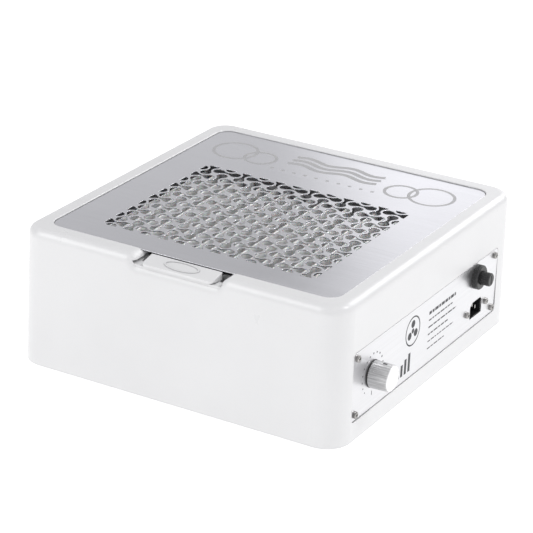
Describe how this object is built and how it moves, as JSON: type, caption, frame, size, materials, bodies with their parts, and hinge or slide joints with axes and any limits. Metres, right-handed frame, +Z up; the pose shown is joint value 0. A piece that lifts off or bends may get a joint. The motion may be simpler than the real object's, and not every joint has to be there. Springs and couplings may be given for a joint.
{
  "type": "nail dust collector",
  "caption": "Table-top nail dust collector: white drafted housing, perforated steel top over a filter and fan, side control panel with speed knob, fuse and mains inlet.",
  "frame": {"origin": "middle of the object's footprint on the table, knob included, at the underside of the rubber feet", "axes": "+Z up, +X towards the control panel, -Y towards the user and the finger notch"},
  "size_m": [0.3484, 0.3462, 0.1329],
  "materials": {
    "white_shell": "moulded white ABS, soft gloss",
    "steel_polished": "polished stainless sheet",
    "steel_dark": "zinc-plated sheet steel, satin",
    "fastener_steel": "nickel-plated fasteners",
    "knob_aluminium": "satin turned and ribbed aluminium",
    "black_plastic": "black moulded plastic",
    "grey_plastic": "grey moulded plastic",
    "rubber": "black rubber",
    "foam": "closed-cell black foam",
    "filter_paper": "pleated white filter paper",
    "brass": "turned brass contact",
    "circuit_board": "green solder mask",
    "glass_tube": "clear fuse glass",
    "wire_insulation": "soft insulation"
  },
  "bodies": {
    "body": {"housing": "white_shell", "base_plate": "steel_dark", "base_screws": "fastener_steel", "rubber_feet": "rubber", "foot_screws": "fastener_steel", "plate_magnets": "fastener_steel", "filter_tray": "black_plastic", "tray_screws": "fastener_steel", "inlet_nozzle": "black_plastic", "nozzle_screws": "fastener_steel", "motor_pedestal": "steel_dark", "pedestal_screws": "fastener_steel", "motor_stator": "steel_dark", "stator_screws": "fastener_steel", "motor_bearings": "fastener_steel", "flap_pin": "fastener_steel", "flap_springs": "fastener_steel", "control_panel": "steel_polished", "panel_screws": "fastener_steel", "pot_body": "grey_plastic", "dial_washer": "black_plastic", "pot_nut": "fastener_steel", "power_inlet": "black_plastic", "inlet_pins": "fastener_steel", "inlet_screws": "fastener_steel", "inlet_nuts": "fastener_steel", "fuse_holder": "black_plastic", "fuse_nut": "black_plastic", "glass_fuse": "glass_tube", "exhaust_louvre": "white_shell", "louvre_screws": "fastener_steel", "board_standoffs": "brass", "control_board": "circuit_board", "board_screws": "fastener_steel", "board_components": "black_plastic", "heat_sink": "knob_aluminium", "wiring": "wire_insulation"},
    "grille": {"grille_plate": "steel_polished"},
    "cassette": {"filter_frame": "grey_plastic", "filter_media": "filter_paper", "filter_gasket": "foam"},
    "flap": {"lift_flap": "white_shell"},
    "knob": {"speed_knob": "knob_aluminium", "knob_grub_screw": "fastener_steel", "knob_pointer": "black_plastic", "pot_shaft": "brass"},
    "fuse_cap": {"fuse_cap": "black_plastic"},
    "rotor": {"motor_shaft": "fastener_steel", "rotor_bell": "steel_dark", "impeller": "black_plastic", "impeller_screws": "fastener_steel"}
  },
  "joints": [
    {"name": "grille_lift", "type": "slide", "parent": "body", "child": "grille", "axis": [0, 0, 1], "range_m": [0, 0.09]},
    {"name": "cassette_lift", "type": "slide", "parent": "body", "child": "cassette", "axis": [0, 0, 1], "range_m": [0, 0.063]},
    {"name": "flap_press", "type": "hinge", "parent": "body", "child": "flap", "pos_m": [-0.0092, -0.1632, 0.1231], "axis": [-1, 0, 0], "range_deg": [0, 20], "stiffness_Nm_per_rad": 0.04, "springref_deg": -20.05, "deforming": ["flap_springs"]},
    {"name": "knob_turn", "type": "hinge", "parent": "body", "child": "knob", "pos_m": [0.1547, -0.111, 0.0535], "axis": [1, 0, 0], "range_deg": [-135, 135]},
    {"name": "fuse_cap_turn", "type": "hinge", "parent": "body", "child": "fuse_cap", "pos_m": [0.1547, 0.094, 0.071], "axis": [1, 0, 0], "range_deg": [0, 90]},
    {"name": "impeller_spin", "type": "hinge", "parent": "body", "child": "rotor", "pos_m": [-0.0092, -0.0309, 0.05], "axis": [0, 0, 1], "continuous": true}
  ],
  "couplings": [
    {"joint": "cassette_lift", "follows": "grille_lift", "ratio": 0.7}
  ]
}
